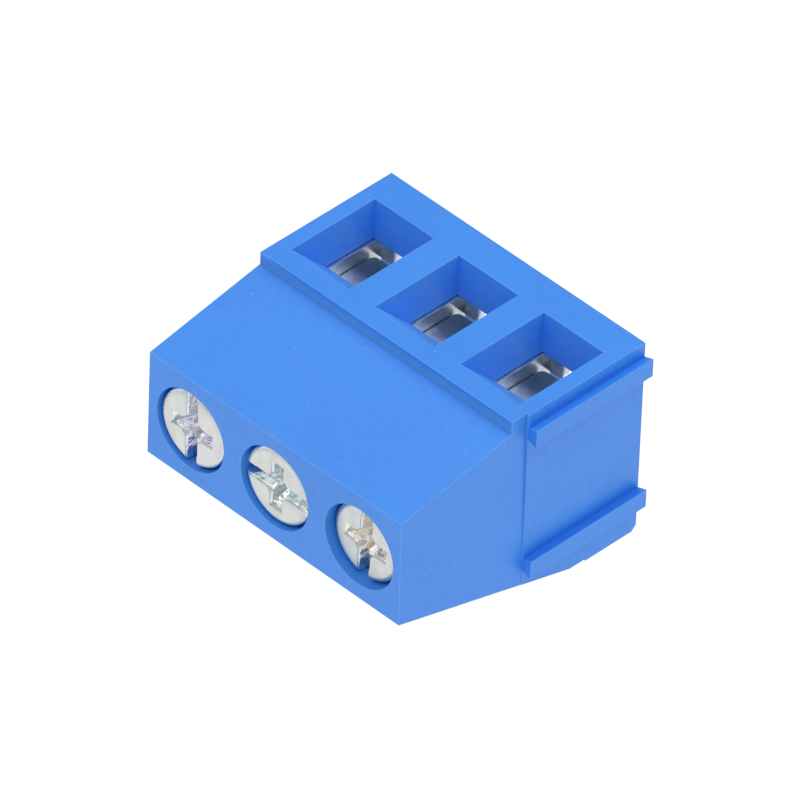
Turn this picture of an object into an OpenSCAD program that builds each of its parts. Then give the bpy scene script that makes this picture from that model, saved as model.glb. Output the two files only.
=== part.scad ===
// Three-way screw terminal block for a printed-circuit board, lying on its back.
// Origin: centre of the middle solder pin, on the plane of the board.
// +X runs along the ways, +Y points into the board, +Z points out of the wire entries.

/* [Block] */
// Distance from one way to the next
pitch = 5.0; // [4.8:0.1:7.5]
// Distance from the screw face to the board
block_h = 14.0; // [12.8:0.1:18]
// Distance from the back face to the wire face
block_d = 10.2; // [8.5:0.1:14]
// Wall outside the first and the last wire entry
end_wall = 0.75; // [0.7:0.05:2]
// Width of the narrow screw face, across the ways
screw_face_w = 5.44; // [4.8:0.02:6.5]
// Drop from the wire face to the top of the sloping shoulder
shoulder_step = 0.65; // [0.2:0.05:1]
// Distance from the shoulder step to the board
shoulder_from_board = 7.67; // [6.8:0.01:9]
// Length of the flat back, from the board
heel_l = 3.9; // [1.5:0.1:6]
// Length of the foot that stands proud of the flat back
foot_l = 3.0; // [1:0.1:3.8]
// Height of that foot
foot_h = 0.1; // [0.02:0.01:0.3]
// Chamfer where the back face meets the board
board_chamfer = 0.25; // [0.05:0.05:0.6]
// How far the rib side stands back in front of its ribs
side_step = 0.14; // [0.02:0.01:0.3]

/* [Joining ribs] */
// How far a rib stands out of the end wall
rib_out = 0.5; // [0.2:0.05:0.55]
// Height of a rib at its outer face
rib_head = 0.93; // [0.7:0.01:1.1]
// Height of a rib at its root
rib_root = 0.6; // [0.3:0.01:0.68]
// Length of a rib, from the board
rib_l = 6.82; // [3:0.02:6.9]
// Centre of the upper rib below the wire face
rib_drop = 1.03; // [0.7:0.01:1.4]
// Centre of the lower rib above the back face
rib_rise = 2.03; // [1:0.01:2.2]
// Gap between a rib and the groove of the next block, all round
rib_gap = 0.05; // [0.02:0.01:0.08]

/* [Wire entries] */
// Width of a wire entry, along the ways
entry_w = 3.5; // [2.9:0.05:4.2]
// Length of a wire entry at the wire face
entry_l = 4.9; // [4.2:0.05:5.4]
// Length of the window at the bottom of the funnel
window_l = 2.76; // [2.4:0.02:3.4]
// Depth of the funnel
funnel_depth = 2.15; // [1.7:0.05:2.6]
// Distance from the far wall of the funnel to the board
entry_from_board = 1.72; // [1.6:0.02:2.4]
// Thickness of the plastic edge at the near side of the window
window_edge = 0.45; // [0.2:0.05:0.6]

/* [Clamp screws] */
// Outer diameter of the thread
screw_d = 2.5; // [2:0.1:2.8]
// Diameter of the screw head
head_d = 3.8; // [3.3:0.1:4.4]
// Height of the screw head
head_h = 2.0; // [1.6:0.1:2.4]
// Depth of a seated head below the screw face
head_recess = 0.38; // [0.1:0.02:0.8]
// How far each screw stands off its seat at rest, from left to right
head_lift = [0.3, 0.24, 0.02]; // [0:0.02:0.34]
// Radius of the rounded rim of the head
head_round = 0.18; // [0.05:0.01:0.4]
// Width of the driver slot
slot_w = 0.7; // [0.4:0.05:0.9]
// Depth of the driver slot
slot_depth = 0.8; // [0.4:0.05:1.1]
// Span of the cross recess
cross_span = 2.5; // [1.8:0.1:2.8]
// Width of each arm of the cross recess
cross_w = 0.62; // [0.4:0.02:0.8]
// Depth of the cross recess
cross_depth = 1.15; // [0.6:0.05:1.5]
// Turn of each screw at rest, from left to right, measured from the line of the ways
slot_turn = [90, 179, 87]; // [0:180]
// Length of the chamfered tip
tip_l = 0.35; // [0.1:0.05:0.6]

/* [Clamp cages] */
// Thickness of the folded sides of the cage
cage_t = 0.28; // [0.2:0.01:0.35]
// Thickness of the threaded top of the cage
nut_t = 1.8; // [1.2:0.1:2.2]
// Depth of the cage, front to back
cage_depth = 3.25; // [2.9:0.05:3.9]
// Thickness of the jaw that lifts the wire
jaw_t = 0.8; // [0.5:0.05:1]
// Thickness of the apron that closes the wire entry
apron_t = 0.3; // [0.2:0.02:0.45]
// Radius of the free corners of the apron
apron_round = 0.3; // [0.1:0.05:0.9]
// Travel of the cage from closed to open
travel = 1.75; // [1:0.05:2]

/* [Terminals] */
// Thickness of the folded sheet of the terminal
sheet_t = 0.4; // [0.25:0.01:0.45]
// Thickness of the current bar that the wire is clamped against
bar_t = 0.8; // [0.5:0.05:1]
// Height of the inturned front lips
lip_h = 0.7; // [0.3:0.05:0.9]
// Slit between the two front lips
lip_slit = 1.0; // [0.5:0.05:2]
// Radius of the lips' lower corners
lip_round = 0.25; // [0.05:0.05:0.3]
// Diameter of the solder pin
pin_d = 0.9; // [0.6:0.05:1.3]
// Length of the solder pin beyond the board face
pin_l = 1.9; // [1.5:0.1:5]
// Distance from the back face to the centre of the solder pin
pin_from_back = 4.6; // [4:0.1:5.2]
// Height of the pin's foot above the board
foot_lift = 0.6; // [0.3:0.05:0.8]
// Gap between the back of the cage and the web of the terminal
web_gap = 0.55; // [0.2:0.05:0.9]

/* [Fits] */
// Side gap between a piece that slides and its guide
slide_gap = 0.04; // [0.02:0.01:0.08]
// Radial gap round the thread
thread_gap = 0.05; // [0.02:0.01:0.09]
// Radial gap round the screw head
well_gap = 0.1; // [0.05:0.05:0.4]
// Gap left between pieces at the ends of their travel
end_gap = 0.07; // [0.03:0.01:0.15]
// Gap between the terminal's cheeks and the housing
seat_gap = 0.03; // [0:0.01:0.08]

/* [Hidden] */
way_names = ["left", "middle", "right"];
pieces = ["screw", "cage", "terminal"];
$fn = 64;
cut = 0.1;

// Faces of the block
block_w = (len(way_names) - 1) * pitch + entry_w + 2 * end_wall;
back_z = -pin_from_back;
wire_z = block_d - pin_from_back;

// Heights of the clamp, measured down from the wire face
cavity_top = wire_z - funnel_depth;
rim_z = cavity_top - slide_gap;
cage_front = rim_z - lip_h - slide_gap;
cage_back = cage_front - cage_depth;
axis_z = (cage_front + cage_back) / 2;
web_t = sheet_t + 0.1;
cavity_back = cage_back - web_gap - web_t;

// Places of the clamp, measured back from the board
window_y = -entry_from_board - window_l;
bar_end = window_y - slide_gap;
bar_y = bar_end - bar_t;
nut_end = bar_y - end_gap - travel;
nut_y = nut_end - nut_t;
cage_room = 0.3;
cavity_y = nut_y - cage_room;
jaw_y = bar_end + slide_gap;
apron_end = -travel - end_gap;
well_depth = head_recess + head_h + slide_gap;
tip_y = bar_y - end_gap;

// Widths of the clamp, from the middle of a way
cage_hole = screw_d / 2 + thread_gap;
cage_half = cage_hole + cage_t;
cheek_in = cage_half + slide_gap;
cheek_out = cheek_in + sheet_t;
bar_half = cage_hole - slide_gap;
cavity_half = cheek_out + seat_gap;

function way_x(i) = (i - (len(way_names) - 1) / 2) * pitch;

// A side view in Y and Z, made as wide as w along X
module side_view(w) rotate([90, 0, 90]) linear_extrude(height = w, center = true) children();

// A flat shape in X and Y, from z up to z + t
module flat_shape(z, t) translate([0, 0, z]) linear_extrude(height = t) children();

// A round bar along Y, from y0 to y1
module bar_y_round(d, y0, y1) translate([0, y0, 0]) rotate([-90, 0, 0]) cylinder(d = d, h = y1 - y0);

module block_outline() {
    face_low = axis_z - screw_face_w / 2;
    face_high = axis_z + screw_face_w / 2;
    polygon([
        [-block_h, face_low],
        [-block_h, face_high],
        [-shoulder_from_board, wire_z - shoulder_step],
        [-shoulder_from_board, wire_z],
        [0, wire_z],
        [0, back_z + board_chamfer],
        [-board_chamfer, back_z],
        [-foot_l, back_z],
        [-foot_l, back_z + foot_h],
        [-heel_l, back_z + foot_h]
    ]);
}

module funnel() side_view(entry_w) polygon([
    [-entry_from_board - entry_l - cut, wire_z + cut],
    [-entry_from_board, wire_z + cut],
    [-entry_from_board, cavity_top - window_edge],
    [window_y, cavity_top - window_edge],
    [window_y, cavity_top],
    [-entry_from_board - entry_l, wire_z]
]);

module cavity() side_view(2 * cavity_half) polygon([
    [cavity_y, cage_back - 2 * slide_gap],
    [cavity_y, cavity_top - window_edge],
    [window_y, cavity_top - window_edge],
    [window_y, cavity_top],
    [cut, cavity_top],
    [cut, cavity_back],
    [bar_y - slide_gap, cavity_back],
    [bar_y - slide_gap, cage_back - 2 * slide_gap]
]);

module screw_well() translate([0, 0, axis_z]) {
    bar_y_round(head_d + 2 * well_gap, -block_h - cut, -block_h + well_depth);
    bar_y_round(screw_d + 2 * thread_gap, -block_h, cavity_y + cut);
}

// Section of a joining rib, in X and Z, grown by gap on each free side
module rib_section(gap) polygon([
    [-cut, -rib_root / 2 - gap],
    [0, -rib_root / 2 - gap],
    [rib_out + gap, -rib_head / 2 - gap],
    [rib_out + gap, rib_head / 2 + gap],
    [0, rib_root / 2 + gap],
    [-cut, rib_root / 2 + gap]
]);

module ribs(gap) for (z = [wire_z - rib_drop, back_z + rib_rise])
    translate([0, gap > 0 ? cut : 0, z]) rotate([90, 0, 0])
        linear_extrude(height = rib_l + (gap > 0 ? gap + cut : 0)) rib_section(gap);

module housing() color([0.16, 0.44, 0.86]) difference() {
    union() {
        intersection() {
            side_view(block_w) block_outline();
            union() {
                translate([-block_w / 2, -rib_l, back_z - cut])
                    cube([block_w, rib_l, block_d + 2 * cut]);
                translate([-block_w / 2, -block_h - cut, back_z - cut])
                    cube([block_w - side_step, block_h, block_d + 2 * cut]);
            }
        }
        translate([block_w / 2, 0, 0]) ribs(0);
    }
    translate([-block_w / 2, 0, 0]) ribs(rib_gap);
    for (i = [0 : len(way_names) - 1]) translate([way_x(i), 0, 0]) {
        funnel();
        cavity();
        screw_well();
    }
}

// Driver recess: a slot right across the head, and a cross recess in the middle
module driver_recess() {
    translate([-head_d, -cut, -slot_w / 2]) cube([2 * head_d, slot_depth + cut, slot_w]);
    for (turn = [0, 90]) rotate([0, turn, 0])
        translate([-cross_span / 2, -cut, -cross_w / 2]) cube([cross_span, cross_depth + cut, cross_w]);
}

module screw(i) color([0.82, 0.82, 0.80])
    translate([way_x(i), -block_h + head_recess - head_lift[i], axis_z])
    rotate([0, -slot_turn[i], 0]) difference() {
        rotate([-90, 0, 0]) rotate_extrude() union() {
            difference() {
                square([head_d / 2, head_h]);
                translate([head_d / 2 - head_round, 0]) square(head_round);
            }
            translate([head_d / 2 - head_round, head_round]) circle(head_round);
            square([screw_d / 2, tip_y + block_h - head_recess - tip_l]);
            translate([0, tip_y + block_h - head_recess - tip_l])
                polygon([[0, 0], [screw_d / 2, 0], [screw_d / 2 - tip_l, tip_l], [0, tip_l]]);
        }
        driver_recess();
    }

module cage(i) color([0.45, 0.46, 0.50]) translate([way_x(i), 0, 0]) difference() {
    union() {
        translate([-cage_half, nut_y, cage_back]) cube([2 * cage_half, jaw_y + jaw_t - nut_y, cage_depth]);
        flat_shape(cage_front - apron_t, apron_t) hull() {
            translate([-cage_half, jaw_y]) square([2 * cage_half, jaw_t]);
            for (side = [-1, 1]) translate([side * (cage_half - apron_round), apron_end - apron_round])
                circle(apron_round);
        }
    }
    translate([-cage_hole, nut_end, cage_back - cut])
        cube([2 * cage_hole, jaw_y - nut_end, cage_depth + 2 * cut]);
    translate([0, 0, axis_z]) bar_y_round(screw_d + 2 * thread_gap, nut_y - cut, nut_end + cut);
}

// One folded cheek with its inturned lip, on the +X side
module cheek() {
    translate([(cheek_in + cheek_out) / 2, 0, 0]) side_view(sheet_t) polygon([
        [bar_y, cavity_back],
        [bar_y, cavity_top - window_edge - slide_gap],
        [window_y + slide_gap, cavity_top - window_edge - slide_gap],
        [window_y + slide_gap, rim_z],
        [-entry_from_board + sheet_t, rim_z],
        [-entry_from_board + sheet_t, cavity_back]
    ]);
    translate([0, -entry_from_board + sheet_t, 0]) rotate([90, 0, 0]) linear_extrude(height = sheet_t)
        hull() {
            translate([cheek_in, rim_z - lip_h]) square([sheet_t, lip_h]);
            translate([lip_slit / 2, rim_z - lip_round]) square(lip_round);
            translate([lip_slit / 2 + lip_round, rim_z - lip_h + lip_round]) circle(lip_round);
        }
}

module terminal(i) color([0.78, 0.76, 0.75]) translate([way_x(i), 0, 0]) {
    for (side = [0, 1]) mirror([side, 0, 0]) cheek();
    translate([-cheek_out, bar_y, cavity_back])
        cube([2 * cheek_out, -entry_from_board + sheet_t - bar_y, web_t]);
    translate([-bar_half, bar_y, cavity_back]) cube([2 * bar_half, bar_t, cage_front - cavity_back]);
    translate([-pin_d, -foot_lift - web_t, cavity_back]) cube([2 * pin_d, web_t, pin_d / 2 - cavity_back]);
    translate([-pin_d, -entry_from_board, cavity_back]) cube([2 * pin_d, entry_from_board - foot_lift, web_t]);
    bar_y_round(pin_d, -foot_lift - cut, pin_l);
}

housing();
for (i = [0 : len(way_names) - 1]) {
    screw(i);
    cage(i);
    terminal(i);
}
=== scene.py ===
import math

import bmesh
import bpy
from mathutils import Matrix, Vector


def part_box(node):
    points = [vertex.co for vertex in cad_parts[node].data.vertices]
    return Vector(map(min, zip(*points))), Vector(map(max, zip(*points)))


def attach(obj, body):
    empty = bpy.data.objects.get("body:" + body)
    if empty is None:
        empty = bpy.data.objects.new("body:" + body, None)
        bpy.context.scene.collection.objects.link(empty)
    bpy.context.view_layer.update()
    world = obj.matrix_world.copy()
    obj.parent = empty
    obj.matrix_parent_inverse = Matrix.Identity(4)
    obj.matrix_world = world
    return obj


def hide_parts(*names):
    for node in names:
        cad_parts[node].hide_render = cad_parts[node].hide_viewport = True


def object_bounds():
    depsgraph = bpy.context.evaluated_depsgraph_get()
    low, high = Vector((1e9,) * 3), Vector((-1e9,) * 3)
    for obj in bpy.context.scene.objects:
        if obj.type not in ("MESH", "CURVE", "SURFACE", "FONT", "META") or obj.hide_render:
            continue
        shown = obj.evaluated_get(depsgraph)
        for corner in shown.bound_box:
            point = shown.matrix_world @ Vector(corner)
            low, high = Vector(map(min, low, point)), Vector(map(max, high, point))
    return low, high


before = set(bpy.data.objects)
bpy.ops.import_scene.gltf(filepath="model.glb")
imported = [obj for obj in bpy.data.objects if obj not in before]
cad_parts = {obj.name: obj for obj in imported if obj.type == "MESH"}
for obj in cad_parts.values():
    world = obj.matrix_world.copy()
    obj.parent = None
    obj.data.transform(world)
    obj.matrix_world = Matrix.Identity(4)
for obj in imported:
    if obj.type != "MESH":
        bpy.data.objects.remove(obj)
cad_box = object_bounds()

MM = 0.001
WAYS = ("left", "middle", "right")
ROOT_BODY = "block"


# ---------------------------------------------------------------- sizes in millimetres

def box_mm(node):
    """The low and high corners of a node's box."""
    low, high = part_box(node)
    return low / MM, high / MM


# From the frame
HOUSING_LOW, HOUSING_HIGH = box_mm("housing")
BACK_FACE = HOUSING_LOW.z
WIRE_FACE = HOUSING_HIGH.z
PITCH = (box_mm("screw_right")[0].x - box_mm("screw_left")[0].x) / 2
SCREW_LOW, SCREW_HIGH = box_mm("screw_middle")
SCREW_LENGTH = SCREW_HIGH.y - SCREW_LOW.y
HEAD_RADIUS = (SCREW_HIGH.x - SCREW_LOW.x) / 2
AXIS_Z = (SCREW_HIGH.z + SCREW_LOW.z) / 2

# The clamp screw
HEAD_HEIGHT = 2.0
HEAD_CHAMFER = 0.1
RIM_ROUND = 0.32
THREAD_RADIUS = 1.25
THREAD_PITCH = 0.45
THREAD_DEPTH = 0.24
TIP_TAPER = 0.35
SLOT_WIDTH = 0.68
SLOT_DEPTH = 0.62
CROSS_SPAN = 2.5
CROSS_WIDTH = 0.74
CROSS_DEPTH = 1.35
CENTRE_WIDTH = 1.35
SLOT_TURN = {"left": 90, "middle": 179, "right": 87}

# The film of colour in a screw's recess, lightened as painted light against the shade in the recess, by
# distance from the top of the head
FILM_AND_LIGHT_STARTS = 0.03
FILM_AND_LIGHT_FULL = 0.16

# The wire entries
ENTRY_WIDTH = 3.5
ENTRY_FAR = -1.72
# How deep the walls of the entries are painted paler, as painted light
ENTRY_PAINTED_DEPTH = 2.7
LEAD_IN = 0.14

# The front of the rib side stands back by a step, which fades out towards the back face
END_WALL = 0.75
SIDE_STEP = 0.14
STEPPED_SIDE = PITCH + ENTRY_WIDTH / 2 + END_WALL - SIDE_STEP
STEP_FADE = 0.13

# The cages and terminals, which are folded from strip
TERMINAL_STRIP = 0.4
SHORTEST_FOLD = 0.4
CAGE_FOLD = 0.26
TERMINAL_FOLD = 0.208

# The cages' colour goes from dark to pale between these two places, on the way to the screw
PALING_FROM = -2.15
PALING_TO = -3.35

# Edges
MOULD_EDGE = 0.065
SHEET_EDGE = 0.09
HEAD_EDGE = 0.045
SMOOTH_ANGLE = 38

# Places closer than NEAR are taken as one, and corners closer than WELD are welded
NEAR = 0.01
WELD = 2e-4


def way_x(way):
    """The X of the middle of a way."""
    return (WAYS.index(way) - 1) * PITCH


# ---------------------------------------------------------------- shader maths

class Value:
    """One output of a node, with the operators that the materials use."""

    def __init__(self, shader, socket):
        self.shader = shader
        self.socket = socket

    def math(self, operation, other):
        return self.shader.add("ShaderNodeMath", {"operation": operation}, {0: self, 1: other})

    def __add__(self, other):
        return self.math("ADD", other)

    def __sub__(self, other):
        return self.math("SUBTRACT", other)

    def __mul__(self, other):
        return self.math("MULTIPLY", other)

    def __rsub__(self, other):
        return self.shader.add("ShaderNodeMath", {"operation": "SUBTRACT"}, {0: other, 1: self})

    __radd__ = __add__
    __rmul__ = __mul__

    def between(self, low, high):
        """0 below low, 1 above high, smooth between them."""
        return self.shader.add("ShaderNodeMapRange", {"interpolation_type": "SMOOTHSTEP"},
                               {"Value": self, "From Min": low, "From Max": high})


class Shader:
    """A material's node tree, built one node at a time."""

    def __init__(self, name):
        self.material = bpy.data.materials.new(name)
        self.material.use_nodes = True
        self.tree = self.material.node_tree
        self.surface = self.tree.nodes["Principled BSDF"]
        self.place = self.add("ShaderNodeTexCoord", output="Object")

    def add(self, kind, settings=None, inputs=None, output=0):
        node = self.tree.nodes.new(kind)
        for key, setting in (settings or {}).items():
            if key == "stops":
                self.set_stops(node.color_ramp, setting)
            else:
                setattr(node, key, setting)
        self.connect(node, inputs or {})
        return Value(self, node.outputs[output])

    def set_stops(self, ramp, stops):
        while len(ramp.elements) < len(stops):
            ramp.elements.new(0.5)
        for element, (position, colour) in zip(ramp.elements, stops):
            element.position = position
            element.color = (*colour, 1.0)

    def connect(self, node, inputs):
        for key, given in inputs.items():
            if isinstance(given, Value):
                self.tree.links.new(given.socket, node.inputs[key])
            else:
                node.inputs[key].default_value = given

    def mix(self, factor, low, high):
        """A colour that goes from low to high as factor goes from 0 to 1."""
        return self.add("ShaderNodeMix", {"data_type": "RGBA"}, {0: factor, 6: low, 7: high}, output=2)

    def noise(self, size_mm, detail=3.0, roughness=0.55, stretch=None):
        """Noise whose patches are about size_mm across, from 0 to 1."""
        where = self.place
        if stretch:
            where = self.add("ShaderNodeVectorMath", {"operation": "MULTIPLY"}, {0: where, 1: stretch})
        return self.add("ShaderNodeTexNoise", None, {
            "Vector": where, "Scale": 1 / (size_mm * MM), "Detail": detail, "Roughness": roughness})

    def along(self, axis):
        """The place along X, Y or Z, in metres."""
        return self.add("ShaderNodeSeparateXYZ", None, {0: self.place}, output=axis)

    def bump(self, height, depth_mm, strength, after=None):
        """Height as relief, on top of the relief that came before it, if there is any."""
        inputs = {"Height": height, "Distance": depth_mm * MM, "Strength": strength}
        if after:
            inputs["Normal"] = after
        return self.add("ShaderNodeBump", None, inputs)

    def finish(self, **inputs):
        """Sets the sockets of the surface, whose names are given with _ for a space."""
        self.connect(self.surface, {key.replace("_", " "): given for key, given in inputs.items()})
        return self.material


def rgb(red, green, blue):
    return (red, green, blue, 1.0)


# ---------------------------------------------------------------- materials

def blue_plastic(name, light, dark, shine=1.5):
    """Moulded polyamide: satin, faintly mottled, with specks of dust and fine scuffs."""
    s = Shader(name)
    cloud = s.noise(5.0, detail=2.0)
    mottle = s.noise(0.35, detail=4.0, roughness=0.6)
    grain = s.noise(0.07, detail=2.0)
    body = s.mix(cloud.between(0.3, 0.7) * 0.3 + mottle.between(0.35, 0.75) * 0.3, light, dark)
    specks = s.noise(0.16, detail=1.0).between(0.735, 0.79)
    body = s.mix(specks * 0.45, body, rgb(0.30, 0.52, 0.93))
    scuff = s.noise(0.5, detail=5.0, roughness=0.75, stretch=(1.0, 0.18, 1.0)).between(0.56, 0.8)
    rough = 0.36 + 0.12 * mottle + 0.14 * scuff
    normal = s.bump(grain, 0.004, 0.35, after=s.bump(mottle, 0.012, 0.4))
    return s.finish(Base_Color=body, Roughness=rough, Normal=normal, IOR=shine)


def plated_screw(name, head_top, tints):
    """Zinc plate over turned steel: pale faces, and a thin film of colour down in the punched recess, kept
    lighter than the faces as painted light against the shade there.
    """
    s = Shader(name)
    recess = s.along("Y").between((head_top + FILM_AND_LIGHT_STARTS) * MM, (head_top + FILM_AND_LIGHT_FULL) * MM)
    blotch = s.noise(0.9, detail=3.0, roughness=0.6)
    fine = s.noise(0.05, detail=3.0)
    film = s.add("ShaderNodeValToRGB", {"stops": tints}, {0: s.noise(0.45, detail=3.0)})
    pale = s.mix(blotch.between(0.3, 0.7), rgb(0.69, 0.71, 0.69), rgb(0.60, 0.62, 0.61))
    # The recess takes the film's tints, paler than the faces: the plating's own tint, and painted light
    # against the shade in the recess
    colour = s.mix(recess, pale, film)
    rough = 0.40 + 0.12 * blotch - 0.24 * recess
    crumple = s.noise(0.42, detail=2.0, roughness=0.5)
    normal = s.bump(fine, 0.006, 0.3, after=s.bump(crumple * recess, 0.10, 0.8))
    return s.finish(Base_Color=colour, Metallic=1.0, Roughness=rough, Normal=normal)


def cage_steel():
    """Plated strip for the cages: dark slate, paler and cloudy towards the screw, with drawn lines."""
    s = Shader("cage_steel")
    cloud = s.noise(0.8, detail=5.0, roughness=0.65)
    drawn = s.noise(0.12, detail=4.0, stretch=(1.0, 0.08, 1.0))
    ragged = 1.6 * MM
    paleness = 1 - (s.along("Y") + ragged * cloud).between(PALING_TO * MM, PALING_FROM * MM)
    dark = s.mix(cloud, rgb(0.12, 0.18, 0.20), rgb(0.28, 0.37, 0.40))
    colour = s.mix(paleness * 0.9, dark, rgb(0.91, 0.95, 0.95))
    rough = 0.30 + 0.24 * cloud
    normal = s.bump(drawn, 0.008, 0.4)
    return s.finish(Base_Color=colour, Metallic=1.0, Roughness=rough, Normal=normal)


def tin_plate(name, light, dull, roughest):
    """Tinned brass for the terminals: bright and faintly cold, with dull clouds."""
    s = Shader(name)
    cloud = s.noise(0.8, detail=4.0, roughness=0.6)
    drawn = s.noise(0.10, detail=3.0, stretch=(1.0, 1.0, 0.1))
    colour = s.mix(cloud.between(0.3, 0.75), light, dull)
    rough = roughest - 0.20 * cloud
    normal = s.bump(drawn, 0.006, 0.4)
    return s.finish(Base_Color=colour, Metallic=1.0, Roughness=rough, Normal=normal)


# The film's colours in the recess of each screw, pale enough to be painted light against the recess's shade
LAVENDER = ((0.3, (0.66, 0.66, 0.84)), (0.5, (0.92, 0.89, 0.92)), (0.7, (0.58, 0.70, 0.76)))
SEA_GREEN = ((0.3, (0.60, 0.78, 0.74)), (0.5, (0.90, 0.90, 0.94)), (0.7, (0.72, 0.88, 0.83)))
STRAW = ((0.3, (0.86, 0.76, 0.62)), (0.5, (0.90, 0.89, 0.90)), (0.7, (0.84, 0.83, 0.62)))
TINTS = {"left": LAVENDER, "middle": SEA_GREEN, "right": STRAW}


# ---------------------------------------------------------------- mesh work, in millimetres

def new_object(name, bm):
    """Makes an object from a mesh drawn in millimetres, still in millimetres."""
    mesh = bpy.data.meshes.new(name)
    bm.to_mesh(mesh)
    bm.free()
    obj = bpy.data.objects.new(name, mesh)
    bpy.context.scene.collection.objects.link(obj)
    return obj


def lies_in_plane(edge, x):
    return all(abs(vert.co.x - x) < NEAR / 10 for vert in edge.verts)


def join_flats(bm, seams=()):
    """Welds the corners and joins the triangles of each flat face, but not across the seams.

    The seams are X planes. A seam through each hole keeps every face free of holes.
    """
    bmesh.ops.remove_doubles(bm, verts=bm.verts, dist=WELD)
    for x in seams:
        everything = bm.verts[:] + bm.edges[:] + bm.faces[:]
        bmesh.ops.bisect_plane(bm, geom=everything, dist=WELD / 2, plane_co=(x, 0, 0), plane_no=(1, 0, 0))
    free = [edge for edge in bm.edges if not any(lies_in_plane(edge, x) for x in seams)]
    flat = math.radians(0.6)
    bmesh.ops.dissolve_limit(bm, angle_limit=flat, verts=bm.verts, edges=free)


def cad_copy(node, seams=()):
    """The node's solid in millimetres, with its flat faces joined up."""
    bm = bmesh.new()
    bm.from_mesh(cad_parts[node].data)
    bmesh.ops.scale(bm, vec=(1 / MM,) * 3, verts=bm.verts)
    join_flats(bm, seams)
    return bm


def apply_modifiers(obj):
    """Turns what the modifiers make of the mesh into the mesh itself."""
    depsgraph = bpy.context.evaluated_depsgraph_get()
    mesh = bpy.data.meshes.new_from_object(obj.evaluated_get(depsgraph))
    obj.modifiers.clear()
    obj.data = mesh


def cut(obj, cutter):
    """Takes the cutter out of the piece, and removes the cutter."""
    boolean = obj.modifiers.new("cut", "BOOLEAN")
    boolean.operation = "DIFFERENCE"
    boolean.solver = "EXACT"
    boolean.object = cutter
    apply_modifiers(obj)
    bpy.data.objects.remove(cutter)
    bm = bmesh.new()
    bm.from_mesh(obj.data)
    join_flats(bm)
    bm.to_mesh(obj.data)
    bm.free()


def round_edges(obj, width, angle):
    """Rounds the edges that stand out by more than the angle, in the piece's second material, which for the
    housing and the terminals is a paler one that paints a highlight along the edges.
    """
    bm = bmesh.new()
    bm.from_mesh(obj.data)
    weight = bm.edges.layers.float.new("bevel_weight_edge")
    for edge in bm.edges:
        if edge.calc_face_angle_signed(0.0) > math.radians(angle):
            edge[weight] = 1.0
    bm.to_mesh(obj.data)
    bm.free()
    while len(obj.data.materials) < 2:
        obj.data.materials.append(None)
    bevel = obj.modifiers.new("edge", "BEVEL")
    bevel.width = width
    bevel.segments = 2
    bevel.limit_method = "WEIGHT"
    bevel.material = 1
    bevel.use_clamp_overlap = True
    apply_modifiers(obj)


def round_folds(bm, axis, inside, radius, segments):
    """Rounds the long edges along an axis whose middle passes the test, as a fold in strip does."""
    folds = []
    for edge in bm.edges:
        first, second = (vert.co for vert in edge.verts)
        run = second - first
        straight = abs(run[axis]) > 0.98 * run.length
        if straight and run.length > SHORTEST_FOLD and inside((first + second) / 2):
            folds.append(edge)
    bmesh.ops.bevel(bm, geom=folds, offset=radius, segments=segments, profile=0.5, affect="EDGES")


def complete(obj, material, body, node, edge_highlight_material=None):
    """Takes the finished piece to metres, smooths its curves and puts it in the node's place."""
    obj.data.transform(Matrix.Scale(MM, 4))
    obj.data.shade_smooth()
    obj.data.set_sharp_from_angle(angle=math.radians(SMOOTH_ANGLE))
    weighted = obj.modifiers.new("flats", "WEIGHTED_NORMAL")
    weighted.keep_sharp = True
    weighted.weight = 90
    apply_modifiers(obj)
    obj.data.materials[0] = material
    # Where an edge material is given, it is paler: a painted highlight on the rounded edges
    obj.data.materials[1] = edge_highlight_material or material
    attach(obj, body)
    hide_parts(node)


# ---------------------------------------------------------------- the housing

def opens_an_entry(edge):
    """True for the left edge of a wire entry, which has a small lead-in."""
    first, second = (vert.co for vert in edge.verts)
    if min(first.z, second.z) < WIRE_FACE - NEAR:
        return False
    lefts = [way_x(way) - ENTRY_WIDTH / 2 for way in WAYS]
    return any(max(abs(first.x - x), abs(second.x - x)) < NEAR for x in lefts)


def on_painted_entry_wall(point):
    """True for a point on the walls of a wire entry, which are painted paler: painted light in place of the
    light that reaches down the entries.
    """
    across = min(abs(point.x - way_x(way)) for way in WAYS)
    depth = WIRE_FACE - point.z
    middle = HOUSING_LOW.y / 2
    return (across < ENTRY_WIDTH / 2 + NEAR
            and NEAR < depth < ENTRY_PAINTED_DEPTH
            and middle < point.y < ENTRY_FAR + NEAR)


def housing():
    bm = cad_copy("housing", [way_x(way) for way in WAYS])
    for vert in bm.verts:
        if abs(vert.co.x - STEPPED_SIDE) < NEAR:
            vert.co.x += STEP_FADE * (WIRE_FACE - vert.co.z) / (WIRE_FACE - BACK_FACE)
    openings = [edge for edge in bm.edges if opens_an_entry(edge)]
    bmesh.ops.bevel(bm, geom=openings, offset=LEAD_IN, segments=1, profile=0.5, affect="EDGES")
    for face in bm.faces:
        if on_painted_entry_wall(face.calc_center_median()):
            face.material_index = 2
    shell = new_object("housing_shell", bm)
    # The entry walls are painted paler than the body: painted light down the entries
    entry_painted_light = blue_plastic("blue_plastic_entries_painted_light", rgb(0.085, 0.37, 1.0), rgb(0.065, 0.32, 0.92))
    for material in (None, None, entry_painted_light):
        shell.data.materials.append(material)
    round_edges(shell, MOULD_EDGE, angle=28)
    # The rounded edges are paler and glossier: a painted highlight along them
    edges = blue_plastic("blue_plastic_edges_painted_highlight", rgb(0.22, 0.50, 1.0), rgb(0.10, 0.36, 0.93), shine=1.2)
    body = blue_plastic("blue_moulded_plastic", rgb(0.042, 0.268, 0.87), rgb(0.030, 0.222, 0.77))
    complete(shell, body, ROOT_BODY, "housing", edges)


# ---------------------------------------------------------------- the clamp screws

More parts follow.
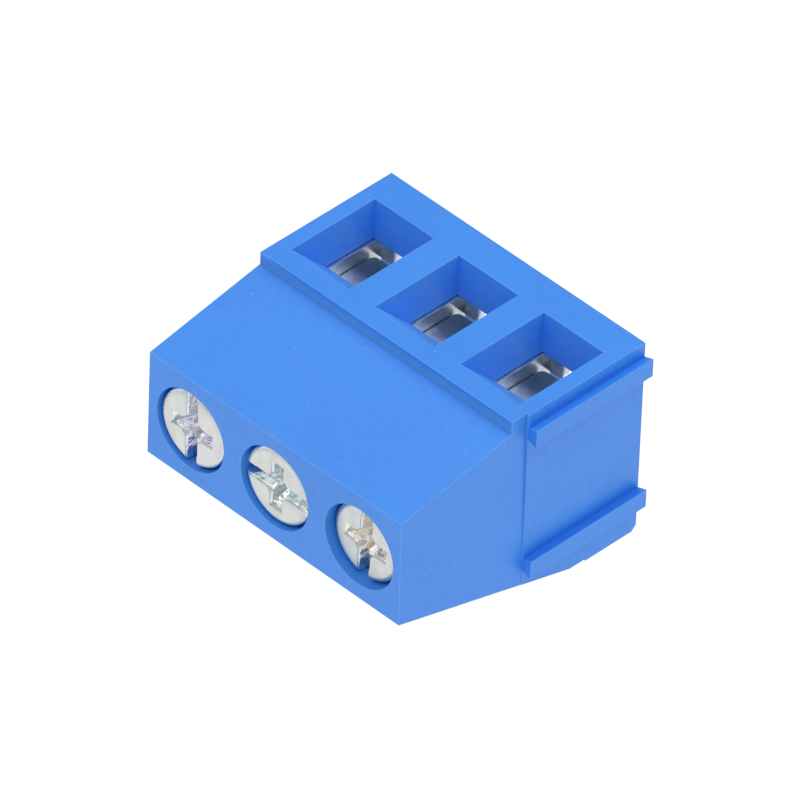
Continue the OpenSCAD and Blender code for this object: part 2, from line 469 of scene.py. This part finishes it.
def turned_screw_profile():
    """Radius and distance from the top of the head, from the flat of the top out to the neck."""
    flat = HEAD_RADIUS - RIM_ROUND
    points = [(flat, 0.0)]
    steps = 7
    for i in range(1, steps + 1):
        turn = math.pi / 2 * i / steps
        points.append((flat + RIM_ROUND * math.sin(turn), RIM_ROUND * (1 - math.cos(turn))))
    points.append((HEAD_RADIUS, HEAD_HEIGHT - HEAD_CHAMFER))
    points.append((HEAD_RADIUS - HEAD_CHAMFER, HEAD_HEIGHT))
    points.append((THREAD_RADIUS - THREAD_DEPTH / 2, HEAD_HEIGHT))
    return points


def threaded_radius(y, turn):
    """The shank's radius at a distance from the top of the head and a part of a turn from 0 to 1."""
    phase = (y / THREAD_PITCH + turn) % 1.0
    crest, slope = 1.6, 4.0
    ridge = max(0.0, min(1.0, crest - abs(phase - 0.5) * slope))
    tip = THREAD_RADIUS - TIP_TAPER + (SCREW_LENGTH - y)
    return min(THREAD_RADIUS - THREAD_DEPTH * (1 - ridge), tip)


def screw_body(name):
    """Head and threaded shank about the Y axis, from the top of the head at 0."""
    bm = bmesh.new()
    around = 72
    rows_per_turn = 10
    shank = SCREW_LENGTH - HEAD_HEIGHT
    rings = [(y, [radius] * around) for radius, y in turned_screw_profile()]
    rows = int(shank / THREAD_PITCH * rows_per_turn)
    for row in range(1, rows + 1):
        y = HEAD_HEIGHT + shank * row / rows
        rings.append((y, [threaded_radius(y, i / around) for i in range(around)]))
    loops = []
    for y, radii in rings:
        turns = [2 * math.pi * i / around for i in range(around)]
        loops.append([bm.verts.new((radius * math.cos(turn), y, radius * math.sin(turn)))
                      for radius, turn in zip(radii, turns)])
    for first, second in zip(loops, loops[1:]):
        for i in range(around):
            j = (i + 1) % around
            bm.faces.new((first[i], first[j], second[j], second[i]))
    bm.faces.new(loops[0])
    bm.faces.new(loops[-1])
    bmesh.ops.recalc_face_normals(bm, faces=bm.faces)
    return new_object(name, bm)


def tapered_cutter(name, length, width, depth, shorten, narrow, turn=0):
    """A bar along X, turned about Y, that gets shorter and narrower as it goes down into the head."""
    bm = bmesh.new()
    bmesh.ops.create_cube(bm, size=1.0)
    above = 0.2
    for vert in bm.verts:
        down = 1.0 if vert.co.y > 0 else -above / depth
        across_x = length * (1 - (1 - shorten) * down)
        across_z = width * (1 - (1 - narrow) * down)
        vert.co = Vector((vert.co.x * across_x, depth * down, vert.co.z * across_z))
    spin = Matrix.Rotation(math.radians(turn), 3, "Y")
    bmesh.ops.rotate(bm, verts=bm.verts, cent=(0, 0, 0), matrix=spin)
    return new_object(name, bm)


def clamp_screw(way):
    head_top = box_mm("screw_" + way)[0].y
    screw = screw_body("clamp_screw_" + way)
    cut(screw, tapered_cutter("slot", 3 * HEAD_RADIUS, SLOT_WIDTH, SLOT_DEPTH, shorten=1.0, narrow=0.8))
    for turn in (0, 90):
        arm = tapered_cutter("cross", CROSS_SPAN, CROSS_WIDTH, CROSS_DEPTH, 0.45, 0.45, turn)
        cut(screw, arm)
    cut(screw, tapered_cutter("centre", CENTRE_WIDTH, CENTRE_WIDTH, CROSS_DEPTH, 0.35, 0.35, turn=45))
    round_edges(screw, HEAD_EDGE, angle=30)
    place = Matrix.Translation((way_x(way), head_top, AXIS_Z))
    spin = Matrix.Rotation(math.radians(-SLOT_TURN[way]), 4, "Y")
    screw.data.transform(place @ spin)
    zinc = plated_screw("zinc_plate_" + way, head_top, TINTS[way])
    complete(screw, zinc, "screw_" + way, "screw_" + way)


# ---------------------------------------------------------------- cages and terminals

def clamp_cage(way, material):
    low, high = box_mm("cage_" + way)
    bm = cad_copy("cage_" + way, [way_x(way)])

    def on_outer_corner(point):
        on_a_side = min(abs(point.x - low.x), abs(point.x - high.x)) < NEAR
        return on_a_side and abs(point.y - low.y) < NEAR

    round_folds(bm, axis=2, inside=on_outer_corner, radius=CAGE_FOLD, segments=5)
    cage = new_object("clamp_cage_" + way, bm)
    round_edges(cage, SHEET_EDGE, angle=35)
    complete(cage, material, "cage_" + way, "cage_" + way)


def terminal(way, material, edge_highlight_material):
    low, high = box_mm("terminal_" + way)
    bm = cad_copy("terminal_" + way)
    cheek_end = ENTRY_FAR + TERMINAL_STRIP

    def on_cheek_corner(point):
        on_a_side = min(abs(point.x - low.x), abs(point.x - high.x)) < NEAR
        return on_a_side and (abs(point.z - low.z) < NEAR or abs(point.y - cheek_end) < NEAR)

    round_folds(bm, axis=1, inside=on_cheek_corner, radius=TERMINAL_FOLD, segments=4)
    piece = new_object("solder_terminal_" + way, bm)
    round_edges(piece, SHEET_EDGE, angle=35)
    complete(piece, material, ROOT_BODY, "terminal_" + way, edge_highlight_material)


# ---------------------------------------------------------------- stage, light and camera

def glowing_paper():
    """Paper that glows evenly, so that the floor stays pale and shows only a faint shade."""
    s = Shader("pale_floor")
    grain = s.noise(30.0, detail=2.0)
    grey = s.mix(grain, rgb(0.09, 0.09, 0.09), rgb(0.11, 0.11, 0.11))
    white = rgb(1.0, 1.0, 1.0)
    return s.finish(Base_Color=grey, Roughness=0.7, Emission_Color=white, Emission_Strength=0.97)


def floor():
    bm = bmesh.new()
    bmesh.ops.create_grid(bm, x_segments=2, y_segments=2, size=1.5)
    plane = new_object("floor", bm)
    plane.location = (0.0, 0.0, cad_box[0][2])
    plane.data.materials.append(glowing_paper())


def softbox(name, aim, direction, distance, size, watts):
    light = bpy.data.lights.new(name, "AREA")
    light.shape = "SQUARE"
    light.size = size
    light.energy = watts
    lamp = bpy.data.objects.new(name, light)
    towards = Vector(direction).normalized()
    lamp.location = aim + towards * distance
    lamp.rotation_euler = towards.to_track_quat("Z", "Y").to_euler()
    bpy.context.scene.collection.objects.link(lamp)


def studio(aim):
    world = bpy.data.worlds.new("studio")
    world.use_nodes = True
    bpy.context.scene.world = world
    sky = world.node_tree.nodes["Background"].inputs
    sky["Color"].default_value = rgb(1.0, 1.0, 1.0)
    sky["Strength"].default_value = 0.46
    softbox("top_softbox", aim, direction=(0.08, -0.02, 1.0), distance=0.35, size=0.55, watts=1.25)
    bpy.context.scene.view_settings.view_transform = "Standard"


def camera(aim):
    """A long lens that looks down on the corner between the screw face and the rib side."""
    turn = math.radians(43.99)
    height = math.radians(40.41)
    tilt = math.radians(2.24)
    right = Vector((math.cos(turn), math.sin(turn), 0.0))
    back = Vector((math.sin(turn) * math.cos(height), -math.cos(turn) * math.cos(height), math.sin(height)))
    up = back.cross(right)
    level = math.cos(tilt) * right + math.sin(tilt) * up
    upright = back.cross(level)
    away = 0.6051
    aside, above = 0.056 * MM, 1.1215 * MM
    place = aim + back * away + level * aside + upright * above
    lens = bpy.data.cameras.new("camera")
    lens.sensor_width = 36.0
    lens.lens = 654.5
    lens.clip_start = 0.05
    lens.clip_end = 5.0
    eye = bpy.data.objects.new("camera", lens)
    facing = Matrix((level, upright, back)).transposed().to_4x4()
    eye.matrix_world = Matrix.Translation(place) @ facing
    bpy.context.scene.collection.objects.link(eye)
    bpy.context.scene.camera = eye


low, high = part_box("housing")
centre = (low + high) / 2
camera(centre)
floor()
studio(centre)
housing()
steel = cage_steel()
tin = tin_plate("tin_plate", rgb(0.77, 0.79, 0.82), rgb(0.57, 0.61, 0.67), roughest=0.44)
# The sheet edges are whiter and rougher than the tin faces: the whiter colour is a painted highlight along
# them
tin_edges_painted_highlight = tin_plate("tin_edges_painted_highlight", rgb(1.0, 0.98, 0.98), rgb(0.92, 0.90, 0.92), roughest=0.75)
for way in WAYS:
    clamp_screw(way)
    clamp_cage(way, steel)
    terminal(way, tin, tin_edges_painted_highlight)
